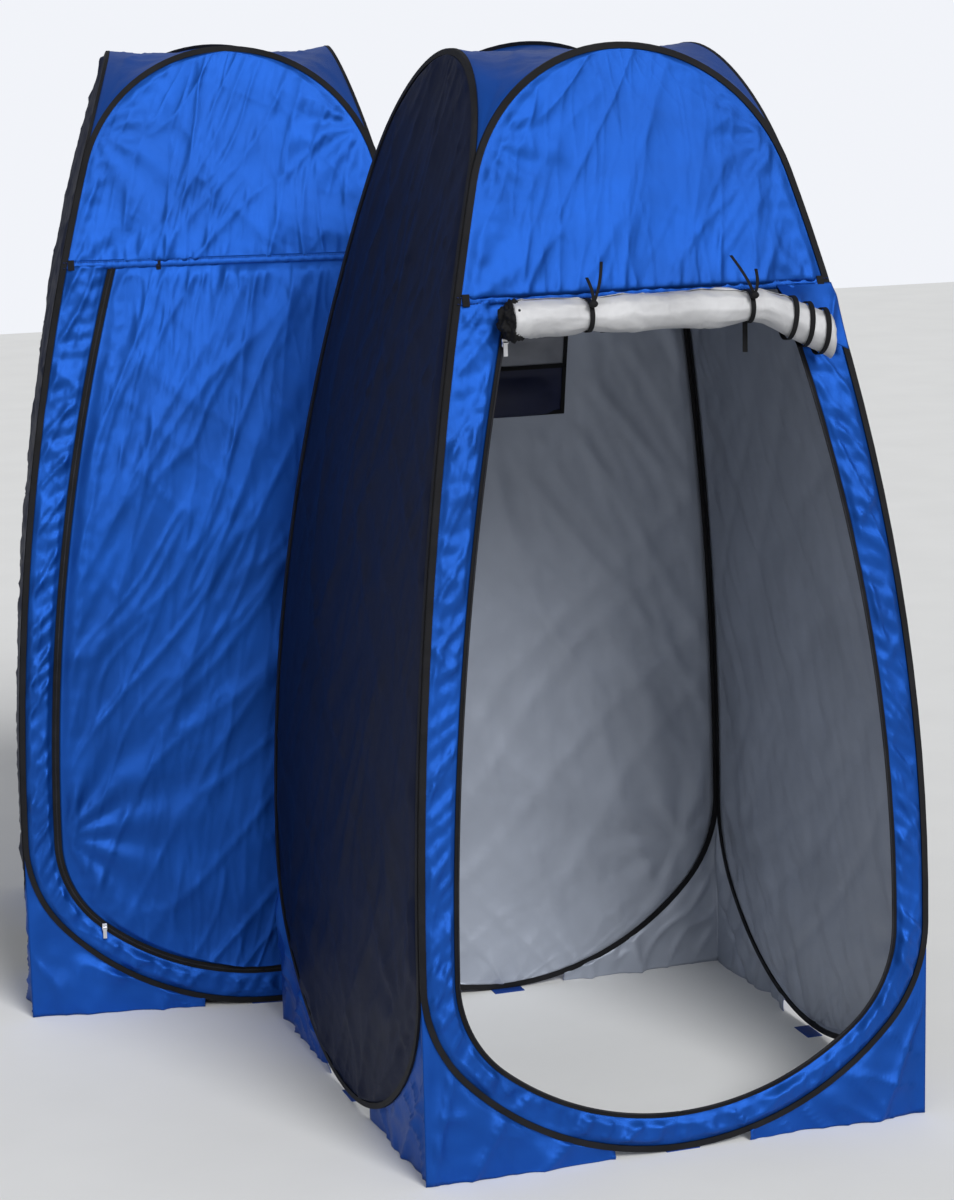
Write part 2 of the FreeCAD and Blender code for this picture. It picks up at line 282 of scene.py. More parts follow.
def crumple_group():
    """Thin coated cloth: soft creases and sharp crinkles as a height, and a tone mask."""
    ins = [("Size", 1.0), ("Crinkle", 0.5)]
    tree, source, sink = group_shell("crumpled_cloth", ins, ["Height", "Tone"])
    link = tree.links.new
    scaled = tree.nodes.new("ShaderNodeVectorMath")
    scaled.operation = "SCALE"
    link(source.outputs["Vector"], scaled.inputs[0])
    link(source.outputs["Size"], scaled.inputs["Scale"])
    broad = node(tree, "ShaderNodeTexNoise", Scale=4.0, Detail=4.0, Roughness=0.55, Distortion=0.6)
    link(scaled.outputs[0], broad.inputs["Vector"])
    height = math_node(tree, "MULTIPLY", broad.outputs["Fac"], 1.2)
    ridges = ((0.55, 0.22, 15.0, 0.34), (-0.75, 0.30, 24.0, 0.22), (1.45, 0.25, 38.0, 0.14))
    for turn, stretch, scale, share in ridges:
        slant = tree.nodes.new("ShaderNodeMapping")
        slant.inputs["Rotation"].default_value = (turn, turn, 0.3)
        slant.inputs["Scale"].default_value = (1.0, 1.0, stretch)
        link(scaled.outputs[0], slant.inputs["Vector"])
        ridge = node(tree, "ShaderNodeTexNoise", Scale=scale, Detail=2.5, Roughness=0.5, Distortion=0.35)
        ridge.noise_type = "RIDGED_MULTIFRACTAL"
        link(slant.outputs["Vector"], ridge.inputs["Vector"])
        weight = math_node(tree, "MULTIPLY", source.outputs["Crinkle"], share)
        crest = math_node(tree, "MULTIPLY", ridge.outputs["Fac"], weight)
        height = math_node(tree, "ADD", height, crest)
    link(height, sink.inputs["Height"])
    link(broad.outputs["Fac"], sink.inputs["Tone"])
    return tree


def weave_group():
    """Crossed threads as a height."""
    tree, source, sink = group_shell("crossed_threads", [("Threads", 900.0)], ["Height"])
    waves = []
    for direction in ("X", "Z"):
        wave = node(tree, "ShaderNodeTexWave", Distortion=0.4)
        wave.bands_direction = direction
        tree.links.new(source.outputs["Vector"], wave.inputs["Vector"])
        tree.links.new(source.outputs["Threads"], wave.inputs["Scale"])
        waves.append(wave.outputs["Fac"])
    tree.links.new(math_node(tree, "ADD", *waves), sink.inputs["Height"])
    return tree


def place_group(tree, group, **inputs):
    """Put a shared group into a material and feed it Object coordinates."""
    made = tree.nodes.new("ShaderNodeGroup")
    made.node_tree = group
    for label, value in inputs.items():
        made.inputs[label].default_value = value
    place = tree.nodes.new("ShaderNodeTexCoord")
    tree.links.new(place.outputs["Object"], made.inputs["Vector"])
    return made


def two_tone(tree, factor, dark, light, target):
    """Colour that runs between two tones of a finish with a mask."""
    ramp = tree.nodes.new("ShaderNodeValToRGB")
    ramp.color_ramp.elements[0].position = 0.30
    ramp.color_ramp.elements[1].position = 0.72
    ramp.color_ramp.elements[0].color = (*dark, 1)
    ramp.color_ramp.elements[1].color = (*light, 1)
    tree.links.new(factor, ramp.inputs["Fac"])
    tree.links.new(ramp.outputs["Color"], target)


def bump_from(tree, height, strength, distance, shader):
    """Feed a height to the shader's normal."""
    bump = node(tree, "ShaderNodeBump", Strength=strength, Distance=distance)
    tree.links.new(height, bump.inputs["Height"])
    tree.links.new(bump.outputs["Normal"], shader.inputs["Normal"])


def cloth_material(name, groups, dark, light, rough_span, metal, strength, size=1.0, crinkle=1.0,
                   shine=0.4):
    """Coated taffeta: crumpled, satin, a little uneven in tone and gloss."""
    material, tree, shader = new_material(name)
    crumple = place_group(tree, groups["crumple"], Size=size, Crinkle=crinkle)
    weave = place_group(tree, groups["weave"], Threads=700.0)
    two_tone(tree, crumple.outputs["Tone"], dark, light, shader.inputs["Base Color"])
    gloss = tree.nodes.new("ShaderNodeMapRange")
    gloss.inputs["To Min"].default_value, gloss.inputs["To Max"].default_value = rough_span
    tree.links.new(crumple.outputs["Tone"], gloss.inputs["Value"])
    tree.links.new(gloss.outputs["Result"], shader.inputs["Roughness"])
    shader.inputs["Metallic"].default_value = metal
    shader.inputs["Specular IOR Level"].default_value = shine
    height = math_node(tree, "ADD", crumple.outputs["Height"],
                       math_node(tree, "MULTIPLY", weave.outputs["Height"], 0.02))
    bump_from(tree, height, strength, 0.006, shader)
    return material


def webbing_material(name, groups, dark, light, roughness, threads=260.0):
    """Woven tape and webbing."""
    material, tree, shader = new_material(name)
    weave = place_group(tree, groups["weave"], Threads=threads)
    crumple = place_group(tree, groups["crumple"], Size=3.0, Crinkle=0.3)
    two_tone(tree, crumple.outputs["Tone"], dark, light, shader.inputs["Base Color"])
    shader.inputs["Roughness"].default_value = roughness
    shader.inputs["Specular IOR Level"].default_value = 0.18
    height = math_node(tree, "ADD", weave.outputs["Height"], crumple.outputs["Height"])
    bump_from(tree, height, 0.35, 0.0008, shader)
    return material


def metal_material(name, groups, colour):
    """Cast zip metal with fine scuffs."""
    material, tree, shader = new_material(name)
    crumple = place_group(tree, groups["crumple"], Size=18.0, Crinkle=0.2)
    shader.inputs["Base Color"].default_value = (*colour, 1)
    shader.inputs["Metallic"].default_value = 1.0
    scuffs = tree.nodes.new("ShaderNodeMapRange")
    scuffs.inputs["To Min"].default_value, scuffs.inputs["To Max"].default_value = (0.2, 0.42)
    tree.links.new(crumple.outputs["Tone"], scuffs.inputs["Value"])
    tree.links.new(scuffs.outputs["Result"], shader.inputs["Roughness"])
    bump_from(tree, crumple.outputs["Height"], 0.08, 0.0004, shader)
    return material


def make_materials(settings):
    """Every finish of the tent, by name."""
    groups = {"crumple": crumple_group(), "weave": weave_group()}
    blue, lining = tuple(settings.cloth_colour), tuple(settings.lining_colour)
    deep = tuple(c * 0.72 for c in blue)
    return {
        "blue": cloth_material("blue_taffeta", groups, deep, blue, (0.36, 0.48), 0.68, 0.42, shine=0.25),
        # Side walls' outer face: near-black blue, a painted shade for the shadow these walls lie in, not a
        # darker cloth
        "painted_shade_sides": cloth_material("side_wall_painted_shade", groups, (0.0008, 0.0042, 0.022), (0.0014, 0.0066, 0.034),
                               (0.45, 0.58), 0.0, 0.40, shine=0.12),
        "silver": cloth_material("silver_coating", groups, tuple(c * 0.86 for c in lining), lining,
                                 (0.38, 0.52), 0.40, 0.35, crinkle=0.7),
        "rolled": cloth_material("silver_coating_rolled", groups, (0.46, 0.46, 0.47), (0.62, 0.62, 0.63),
                                 (0.30, 0.45), 0.35, 0.70, size=2.0, crinkle=1.2),
        "pocket": cloth_material("pocket_cloth", groups, (0.003, 0.005, 0.028), (0.006, 0.010, 0.050),
                                 (0.5, 0.62), 0.0, 0.3, size=2.0),
        "window": cloth_material("pocket_window_film", groups, (0.16, 0.17, 0.20), (0.26, 0.27, 0.30),
                                 (0.18, 0.3), 0.0, 0.2, size=2.0),
        "binding": webbing_material("black_binding", groups, (0.003, 0.003, 0.004),
                                    (0.009, 0.009, 0.011), 0.6),
        "tape": webbing_material("black_zip_tape", groups, (0.002, 0.002, 0.003),
                                 (0.007, 0.007, 0.008), 0.65),
        "coil": webbing_material("black_zip_coil", groups, (0.008, 0.008, 0.010),
                                 (0.020, 0.020, 0.024), 0.35, 520.0),
        "webbing": webbing_material("black_webbing", groups, (0.003, 0.003, 0.004),
                                    (0.009, 0.009, 0.010), 0.65),
        "blue_webbing": webbing_material("blue_webbing", groups, (0.006, 0.035, 0.20),
                                         (0.012, 0.06, 0.32), 0.55),
        "thread": webbing_material("blue_thread", groups, (0.003, 0.022, 0.15),
                                   (0.005, 0.035, 0.22), 0.5),
        "metal": metal_material("zip_metal", groups, (0.72, 0.72, 0.74)),
        "steel": metal_material("spring_steel", groups, (0.45, 0.45, 0.47)),
    }


# ------------------------------------------------------------------ making a sheet

def grid_piece(name, columns, rows, place, materials, thick):
    """A grid whose unit square is laid where place(u, v, fold) says, given a thickness.

    Returns the piece and the area of the unfolded cloth."""
    bm = bmesh.new()
    bmesh.ops.create_grid(bm, x_segments=columns, y_segments=rows, size=0.5)
    square = {vert: (vert.co.x + 0.5, vert.co.y + 0.5) for vert in bm.verts}
    for vert, (u, v) in square.items():
        vert.co = place(u, v, 0.0)
    area = sum(face.calc_area() for face in bm.faces)
    for vert, (u, v) in square.items():
        vert.co = place(u, v, 1.0)
    for face in bm.faces:
        face.smooth = True
    mesh = bpy.data.meshes.new(name)
    bm.to_mesh(mesh)
    bm.free()
    piece = bpy.data.objects.new(name, mesh)
    bpy.context.scene.collection.objects.link(piece)
    for material in materials:
        mesh.materials.append(material)
    if thick:
        solidify = piece.modifiers.new("thickness", "SOLIDIFY")
        solidify.thickness = thick
        solidify.offset = -1
        solidify.material_offset = len(materials) - 1
    return piece, area


def add_cloth(name, nodes, columns, rows, place, materials, flat,
              body="root", thick=0.0012):
    """A sewn panel of cloth that stands for CAD nodes."""
    piece, area = grid_piece(name, columns, rows, place, materials, thick)
    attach(piece, body)
    if nodes:
        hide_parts(*nodes)
    return piece


def settings():
    """The tent's settings."""
    return bpy.context.scene.tent_cloth


MATERIALS = {}


def finishes():
    """The tent's materials, made once."""
    if not MATERIALS:
        MATERIALS.update(make_materials(settings()))
    return MATERIALS


def panel_place(room, side, arcs, first, last, folds):
    """Fill an outline between two shares of its height; folds(x, z, gap) gives the depth."""
    def place(u, v, fold):
        half, z = outline_point(arcs, first + (last - first) * v)
        x = (2 * u - 1) * half
        gap = half - abs(x)
        out = fold * settings().fold_depth * folds(x, z, gap) if fold else 0.0
        return on_wall(room, side, x, z, held_back(room, side, x, out))
    return place


# ------------------------------------------------------------------ the pieces

def beside_pocket(x, z):
    """0 behind the pocket, where the back wall lies flat, and 1 once clear of it."""
    low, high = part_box("open_room_pocket")[0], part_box("open_room_pocket_window")[1]
    across = MIDDLE["open_room"].x - x
    return edge_fade(max(low[0] - across, across - high[0], low[2] - z, z - high[2]), 0.07)


def make_wall(room, side):
    """A whole wall, silver inside: the back is blue outside, and the sides are near-black blue outside, a
    painted shade for the shadow they lie in.
    """
    inset = 0.002 if side == "back" else 0.009
    arcs = hoop_arcs(inset + BINDING - 0.0015)
    seed = 10 * ROOMS.index(room) + QUARTERS[side] / 90

    def folds(x, z, gap):
        out = shell_folds(x, z, seed)
        out += 0.0022 * puckers(z, gap, seed)
        out += 0.0020 * puckers(x, z - SEAM_Z, seed + 2, 0.05, 0.10)
        for x_pull in (0.42, -0.42):
            out += 0.0040 * fan(x, z, (x_pull, 0.30), 0.30, 9, seed)
        if (room, side) == ("open_room", "back"):
            out *= beside_pocket(x, z)
        return out * edge_fade(gap)

    materials = finishes()
    # Side walls take the painted shade on their outer face; only the back shows the blue cloth.
    outer = materials["blue"] if side == "back" else materials["painted_shade_sides"]
    add_cloth(f"{room}_{side}_cloth", [f"{room}_{side}_wall"], 84, 170,
              panel_place(room, side, arcs, 0.006, 0.994, folds), [outer, materials["silver"]],
              (2 * HALF, HEIGHT + 0.03))


def make_header(room):
    """The fixed upper part of the front, above the door's seam."""
    arcs = hoop_arcs(0.002 + BINDING - 0.0015)
    seed = 40 + 10 * ROOMS.index(room)

    def folds(x, z, gap):
        rise = z - SEAM_Z
        out = 0.85 * shell_folds(x, z, seed, 0.5) + pleats(x, z, rise, seed)
        for x_pull, z_pull in ((-0.37, SEAM_Z - 0.02), (0.37, SEAM_Z - 0.02), (-0.30, 1.95), (0.30, 1.95)):
            out += 0.0036 * fan(x, z, (x_pull, z_pull), 0.24, 10, seed)
        out += 0.0018 * puckers(z, gap, seed + 4)
        return out * edge_fade(gap) * edge_fade(rise + 0.012, 0.02)

    materials = finishes()
    add_cloth(f"{room}_header_cloth", [f"{room}_front_header"], 200, 84,
              panel_place(room, "front", arcs, share_at(arcs, SEAM_Z), 0.994, folds),
              [materials["blue"], materials["silver"]], (0.82, 0.50))


def make_hem(room):
    """The folded and stitched hem along the seam under the header."""
    arcs = hoop_arcs(0.002 + BINDING)
    tall = 0.020
    seed = 60 + ROOMS.index(room)

    def place(u, v, fold):
        z = SEAM_Z - 0.012 + tall * v
        x = (2 * u - 1) * half_width(arcs, z)
        crown = 0.0022 * math.sin(math.pi * v)
        ripple = 0.0016 * puckers(x, 0, seed, 0.026)
        return on_wall(room, "front", x, z, 0.0026 + fold * (crown + ripple))

    materials = finishes()
    add_cloth(f"{room}_header_hem", (), 220, 5, place, [materials["blue"]],
              (2 * half_width(arcs, SEAM_Z - 0.012), tall + 0.001), thick=0.0015)


def make_stitches(room):
    """Two rows of thread along the header's hem."""
    bm = bmesh.new()
    step, count = 0.0062, 122
    for row in (-0.008, 0.004):
        for index in range(count):
            x = (index - (count - 1) / 2) * step
            spot = on_wall(room, "front", x, SEAM_Z + row, 0.0062)
            turn = Matrix.Rotation(YAW[room], 4, "Z") @ Matrix.Rotation(0.30, 4, "Y")
            shape = Matrix.Translation(spot) @ turn @ Matrix.Diagonal((0.0036, 0.0012, 0.0010, 1))
            bmesh.ops.create_cube(bm, size=1.0, matrix=shape)
    mesh_piece(f"{room}_header_stitches", bm, finishes()["thread"])


def make_door_corner():
    """The open door's upper corner, which stays sewn to the seam and hangs past the roll."""
    wide, tall = 0.115, 0.125
    right = half_width(hoop_arcs(0.0), SEAM_Z)

    def place(u, v, fold):
        x = right - wide + (wide + 0.012 * (1 - v)) * u
        drop = 1 - v
        z = SEAM_Z - 0.004 - tall * drop * (0.55 + 0.45 * u)
        bulge = 0.006 + 0.042 * math.sin(1.9 * drop) * (1 - 0.35 * u)
        ripple = 0.009 * crease(x, z, 240, 16.0, 3.0, 1.1) + 0.005 * rough(x, z, 241, 18.0)
        return on_wall("open_room", "front", x, z, bulge + fold * ripple * edge_fade(drop, 0.3))

    materials = finishes()
    add_cloth("open_room_door_corner", (), 40, 40, place, [materials["blue"], materials["silver"]],
              (wide + 0.012, 0.15))


def make_border(room):
    """The blue border between the front hoop and the zip, round the doorway."""
    top = SEAM_Z - 0.003
    outer = hoop_arcs(0.002 + BINDING - 0.0015, top)
    inner = door_arcs(-TAPE + 0.001, top)
    seed = 80 + 10 * ROOMS.index(room)
    half_length = 1.9       # from the middle of the foot up one side

    def place(u, v, fold):
        turn = 2 * u - 1
        x_out, z_out = outline_point(outer, abs(turn))
        x_in, z_in = outline_point(inner, abs(turn))
        half, z = x_out + (x_in - x_out) * v, z_out + (z_in - z_out) * v
        x = math.copysign(half, turn)
        width = math.hypot(x_in - x_out, z_in - z_out)
        run = turn * half_length
        out = 0.9 * shell_folds(x, z, seed)
        out += 0.0036 * puckers(run, (1 - v) * width, seed, 0.040, 0.05)
        out += 0.0024 * puckers(run, v * width, seed + 1, 0.046, 0.03)
        slant = 0.95 if x < 0 else -0.95
        out += 0.0050 * crease(x, z, seed + 2, 20.0, 6.0, slant)
        out += 0.0050 * crease(x, z, seed + 6, 11.0, 4.0, slant)
        out *= 1.35 * edge_fade(min(v, 1 - v) * width, 0.018)
        return on_wall(room, "front", x, z, held_back(room, "front", x, fold * settings().fold_depth * out))

    materials = finishes()
    add_cloth(f"{room}_border_cloth", [f"{room}_left_border", f"{room}_right_border"], 520, 20, place,
              [materials["blue"], materials["silver"]], (0.12, 3.80))


def make_flap(room):
    """The zipped door of the closed room."""
    arcs = door_arcs(0.002 + TAPE - 0.001, SEAM_Z - 0.004)
    seed = 120

    def folds(x, z, gap):
        drop = SEAM_Z - z
        out = 1.1 * shell_folds(x, z, seed, 0.3) + pleats(x, z, drop, seed + 5)
        leaning = math.exp(-drop / 0.45) * edge_fade(0.25 - x, 0.3)
        out += 0.0085 * crease(x, z, seed + 5, 9.0, 7.0, 1.22) * leaning
        out += 0.0050 * crease(x, z, seed + 8, 3.6, 5.0, 1.25)
        for x_pull in (-0.44, 0.44):
            out += 0.0060 * fan(x, z, (x_pull, 0.42), 0.35, 12, seed)
        out += 0.0022 * puckers(z, gap, seed + 4, 0.038, 0.03)
        return (out + 0.006) * edge_fade(gap) * edge_fade(drop, 0.03)

    materials = finishes()
    add_cloth(f"{room}_door_cloth", [f"{room}_door_flap"], 170, 190,
              panel_place(room, "front", arcs, 0.004, 1.0, folds),
              [materials["blue"], materials["silver"]], (0.89, 1.55), body="closed_door")


def make_roof(room):
    """The cloth between the four top arcs."""
    arcs = hoop_arcs(0.0045)
    first = share_at(arcs, HEIGHT - TOP_R + 0.093)
    low = outline_point(arcs, first)
    seed = 150 + 10 * ROOMS.index(room)

    def edge(side, t):
        half, z = outline_point(arcs, first + (1 - first) * (1 - abs(2 * t - 1)))
        return on_wall(room, side, math.copysign(half, t - 0.5), z, -0.002)

    def arch(t):
        z = outline_point(arcs, first + (1 - first) * (1 - abs(2 * t - 1)))[1]
        return (z - low[1]) / (HEIGHT - 0.0045 - low[1])

    def place(u, v, fold):
        front, back = edge("front", u), edge("back", 1 - u)
        left, right = edge("left", 1 - v), edge("right", v)
        corners = [edge("front", 0), edge("front", 1), edge("back", 1), edge("back", 0)]
        point = front * (1 - v) + back * v + left * (1 - u) + right * u
        point -= corners[0] * (1 - u) * (1 - v) + corners[1] * u * (1 - v)
        point -= corners[2] * (1 - u) * v + corners[3] * u * v
        rise = 1 - (1 - arch(u)) * (1 - arch(v))
        inside = edge_fade(min(u, 1 - u, v, 1 - v), 0.25)
        folds = shell_folds(point.x, point.y, seed) - 0.014
        point.z = low[1] - 0.006 + (HEIGHT - 0.004 - low[1]) * rise + fold * inside * folds
        return point

    materials = finishes()
    add_cloth(f"{room}_roof_cloth", [f"{room}_roof"], 64, 64, place,
              [materials["blue"], materials["silver"]], (0.84, 0.84))


def make_gussets(room):
    """Four crumpled corners between the hoops' lower arcs and the ground."""
    free = 0.141
    sides = list(QUARTERS)
    far = HALF - CLOTH_DEPTH
    materials = finishes()
    for index, side in enumerate(sides):
        after = sides[(index + 1) % 4]
        seed = 180 + 10 * ROOMS.index(room) + index

        def place(u, v, fold, side=side, after=after, seed=seed):
            turn = 2 * u - 1
            x = far - abs(turn)**1.15 * (far - free)
            leg = side if turn < 0 else after
            arcs = hoop_arcs(0.006 if leg in ("front", "back") else 0.013)
            z = 0.0008 + v * max(lower_edge(arcs, x) - 0.0008, 0.001)
            across = x if turn < 0 else -x
            wave = 0.0130 * rough(across, z, seed, 6.0) + 0.0120 * crease(across, z, seed, 8.0, 3.5, 1.1)
            wave += 0.0070 * crease(across, z, seed + 2, 15.0, 3.5, -0.9)
            wave += 0.0070 * fan(x, z, (far, 0.40), 0.25, 8, seed) + 0.0040 * rough(across, z, seed + 4, 22.0)
            fade = edge_fade((1 - v) * 0.2, 0.03) * edge_fade(abs(turn) * 0.4, 0.04)
            out = held_back(room, leg, across, fold * fade * (wave - 0.004))
            return on_wall(room, leg, across, z, out - 0.001)

        add_cloth(f"{room}_corner_gusset_{index + 1}", [f"{room}_corner_gussets"] if index == 0 else (),
                  92, 30, place, [materials["blue"], materials["silver"]], (2 * (far - free), 0.40))


def lower_edge(arcs, x):
    """Height of an outline's lower arcs at a distance from its middle."""
    low, high = 0.0, share_at(arcs, WIDEST)
    for _ in range(24):
        mid = (low + high) / 2
        if outline_point(arcs, mid)[0] < x:
            low = mid
        else:
            high = mid
    return outline_point(arcs, low)[1]


def tube_place(centre_line, radius):
    """Skin a line with a round tube; centre_line(u) gives a point and two directions."""
    def place(u, v, fold):
        point, first, second = centre_line(u)
        angle = 2 * math.pi * v
        return point + radius * (first * math.cos(angle) + second * math.sin(angle))
    return place


def make_coil(room):
    """The zip's coil, which stands up from the middle of its tape round the doorway."""
    arcs = door_arcs(0.001, SEAM_Z - 0.004)
    face = Matrix.Rotation(YAW[room], 3, "Z")

    def line(u):
        turn = 2 * u - 1
        x, z = outline_point(arcs, abs(turn))
        near = outline_point(arcs, min(abs(turn) + 0.002, 1.0))
        back = outline_point(arcs, max(abs(turn) - 0.002, 0.0))
        sideways = Vector((near[1] - back[1], 0, back[0] - near[0])).normalized()
        if turn < 0:
            x, sideways = -x, Vector((sideways.x, 0, -sideways.z))
        return on_wall(room, "front", x, z, 0.0015), face @ sideways, face @ Vector((0, -1, 0))

    piece, _ = grid_piece(f"{room}_zip_coil", 360, 8, tube_place(line, 0.0022), [finishes()["coil"]], 0)
    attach(piece, "root")


def make_rolled_door():
    """The open room's door, wound up silver side out and pinched by its two ties."""
    low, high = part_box("open_room_rolled_door")
    ties_low, ties_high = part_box("open_room_roll_ties")
    ties = (ties_low[0] + 0.0045, ties_high[0] - 0.0045)
    axis_z = (ties_low[2] + ties_high[2]) / 2
    axis_y = (ties_low[1] + ties_high[1]) / 2
    bend = MIDDLE["open_room"].x + ROLL_BEND
    turns, first, last = 13, 0.005, 0.029
    seed = 210

    def place(u, v, fold):
        x = low[0] + 0.002 + (high[0] - low[0] - 0.010) * v
        beyond = max(x - bend, 0)
        nearest = min(abs(x - tie) for tie in ties)
        swell = 1 + 0.24 * (1 - math.exp(-(nearest / 0.038)**2))
        angle = 2 * math.pi * turns * u + 0.6 * rough(x, 0, seed, 6.0)
        radius = (first + (last - first) * u)
        around = angle % (2 * math.pi)
        lumps = 0.0032 * rough(x, math.cos(around), seed, 9.0)
        lumps += 0.0030 * crease(x, 0.06 * around, seed, 18.0, 2.5, 0.9)
        gathers = 0.0030 * math.sin(9 * around + 3 * rough(x, 0, seed, 8.0))
        gathers *= math.exp(-(nearest / 0.05)**2)
        away = 1 - math.exp(-(nearest / 0.014)**2)
        radius = radius * (swell if fold else 1) + fold * (lumps + gathers) * u * away
        flare = 1 + 1.5 * beyond
        return Vector((x, axis_y - ROLL_FORWARD * beyond - radius * math.sin(angle) * 0.94,
                       axis_z - ROLL_DROOP * beyond + radius * math.cos(angle) * flare))

    materials = finishes()
    add_cloth("open_room_rolled_cloth", ["open_room_rolled_door"], turns * 26, 90, place,
              [materials["rolled"]], (high[0] - low[0], 1.54),
              thick=0.0005)


def make_roll_details():
    """Bunched zip end, black tape edges at the drooping end, and the ties' knots and tails."""
    materials = finishes()
    low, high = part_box("open_room_rolled_door")
    ties_low, ties_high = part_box("open_room_roll_ties")
    axis_y, axis_z = (ties_low[1] + ties_high[1]) / 2, (ties_low[2] + ties_high[2]) / 2
    bm = bmesh.new()
    bmesh.ops.create_icosphere(bm, subdivisions=5, radius=1.0)
    for vert in bm.verts:
        way = vert.co.normalized()
        reach = 1 + 0.30 * noise.noise(way * 2.4) + 0.13 * noise.noise(way * 6.5)
        reach += 0.05 * noise.noise(way * 15)
        vert.co = Vector((low[0] + 0.010 + 0.030 * reach * way.x, axis_y + 0.028 * reach * way.y,
                          axis_z - 0.004 + 0.037 * reach * way.z))
    mesh_piece("open_room_zip_bunch", bm, materials["tape"])
    bend = MIDDLE["open_room"].x + ROLL_BEND
    for index, share in enumerate((0.42, 0.66, 0.90)):
        x = bend + (high[0] - bend - 0.012) * share
        beyond = x - bend
        middle = Vector((x, axis_y - ROLL_FORWARD * beyond, axis_z - ROLL_DROOP * beyond))

        def place(u, v, fold, middle=middle, index=index, beyond=beyond):
            angle = 2 * math.pi * u
            radius = 0.0395 + 0.0008 * math.sin(3 * angle + index)
            return middle + Vector(((v - 0.5) * 0.010 + 0.006 * math.cos(angle),
                                    -radius * 0.95 * math.sin(angle),
                                    radius * (1 + 1.2 * beyond) * math.cos(angle)))
        band, _ = grid_piece(f"open_room_roll_edge_{index + 1}", 48, 3, place, [materials["tape"]], 0.0015)
        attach(band, "root")
    for index, (x, lean) in enumerate(((ties_low[0] + 0.0045, 0.35), (ties_high[0] - 0.0045, -0.5))):
        knot = bmesh.new()
        bmesh.ops.create_icosphere(knot, subdivisions=3, radius=1.0)
        for vert in knot.verts:
            vert.co = Vector((x + 0.009 * vert.co.x, ties_low[1] - 0.003 + 0.006 * vert.co.y,
                              axis_z + 0.024 + 0.007 * vert.co.z))
        mesh_piece(f"open_room_tie_knot_{index + 1}", knot, materials["webbing"])
        for tail, (slant, length) in enumerate(((lean, 0.075), (-lean * 0.4, 0.048))):
            def place(u, v, fold, x=x, slant=slant, length=length):
                up = length * v
                z = axis_z + 0.024 + up
                y = ties_low[1] - 0.004 + 0.35 * up - 0.010 * math.sin(math.pi * v)
                return Vector((x + slant * up + (u - 0.5) * 0.006, y, z))
            strip, _ = grid_piece(f"open_room_tie_tail_{index + 1}_{tail + 1}", 2, 14, place,
                                  [materials["webbing"]], 0.0012)
            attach(strip, "root")


def mesh_piece(name, bm, material, body="root"):
    """Turn a finished bmesh into a smooth piece."""
    for face in bm.faces:
        face.smooth = True
    mesh = bpy.data.meshes.new(name)
    bm.to_mesh(mesh)
    bm.free()
    mesh.materials.append(material)
    piece = bpy.data.objects.new(name, mesh)
    bpy.context.scene.collection.objects.link(piece)
    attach(piece, body)
    return piece


def make_pocket():
    """The pocket sewn to the back wall, with its see-through upper part."""
    materials = finishes()
    for name, node_name, finish, key, belly in (
            ("open_room_pocket_cloth", "open_room_pocket", "navy_mesh", "pocket", 0.016),
            ("open_room_pocket_film", "open_room_pocket_window", "clear_window", "window", 0.005)):
        low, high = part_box(node_name)
        middle = MIDDLE["open_room"]

        def place(u, v, fold, low=low, high=high, belly=belly):
            x = high[0] + (low[0] - high[0]) * u
            z = low[2] + (high[2] - low[2]) * v
            sag = belly * math.sin(math.pi * u) * math.sin(math.pi * min(v * 1.15 + 0.1, 1))
            wave = 0.003 * rough(x, z, 230, 16.0)
            point = on_wall("open_room", "back", -(x - middle.x), z, 0)
            point.y -= 0.004 + fold * (max(sag, 0) + abs(wave))
            return point
        add_cloth(name, [node_name], 40, 24, place, [materials[key]],
                  (high[0] - low[0], high[2] - low[2] + 0.002))


def make_pocket_binding():
    """Black tape sewn over the pocket's edges and along its rim."""
    low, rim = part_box("open_room_pocket")[0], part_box("open_room_pocket")[1][2]
    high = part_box("open_room_pocket_window")[1]
    tape = 0.009
    runs = {"left": (low[0], low[0] + tape, low[2], high[2]),
            "right": (high[0] - tape, high[0], low[2], high[2]),
            "foot": (low[0], high[0], low[2], low[2] + tape),
            "rim": (low[0], high[0], rim - tape, rim)}
    for label, (x_low, x_high, z_low, z_high) in runs.items():
        def place(u, v, fold, x_low=x_low, x_high=x_high, z_low=z_low, z_high=z_high):
            x, z = x_high + (x_low - x_high) * u, z_low + (z_high - z_low) * v
            point = on_wall("open_room", "back", MIDDLE["open_room"].x - x, z, 0)
            point.y -= 0.0085 + 0.0010 * rough(x, z, 250, 30.0)
            return point
        strip, _ = grid_piece(f"open_room_pocket_{label}_tape", 24, 24, place,
                              [finishes()["webbing"]], 0.0012)
        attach(strip, "root")


CARRIED = (("binding", "binding"), ("zip_tape", "tape"), ("slider", "metal"), ("puller", "metal"),
           ("ground_tabs", "blue_webbing"), ("edge_tabs", "webbing"), ("spring_hoops", "steel"),
           ("ties", "webbing"), ("door_tie", "webbing"), ("strap", "webbing"), ("towel_tab", "webbing"))


def finish_carried():
    """Give each CAD node that stays its own finish."""
    for name, obj in frame["nodes"].items():
        for word, key in CARRIED:
            if word in name:
                for material_slot in obj.material_slots:
                    material_slot.link = "OBJECT"
                    material_slot.material = finishes()[key]
                break


# ------------------------------------------------------------------ settings, operators and panel

class TentClothSettings(bpy.types.PropertyGroup):
    """Sizes and colours of the cloth."""
    fold_depth: FloatProperty(name="Fold depth", description="How deep the folds in the cloth are",
                              default=1.0, min=0.0, max=1.5, subtype="FACTOR")
    cloth_colour: FloatVectorProperty(name="Cloth", description="Outer colour of the tent's cloth",
                                      default=(0.009, 0.088, 0.440), size=3, min=0, max=1, subtype="COLOR")
    lining_colour: FloatVectorProperty(name="Lining", description="Colour of the silver coating inside",
                                       default=(0.37, 0.405, 0.48), size=3, min=0, max=1, subtype="COLOR")


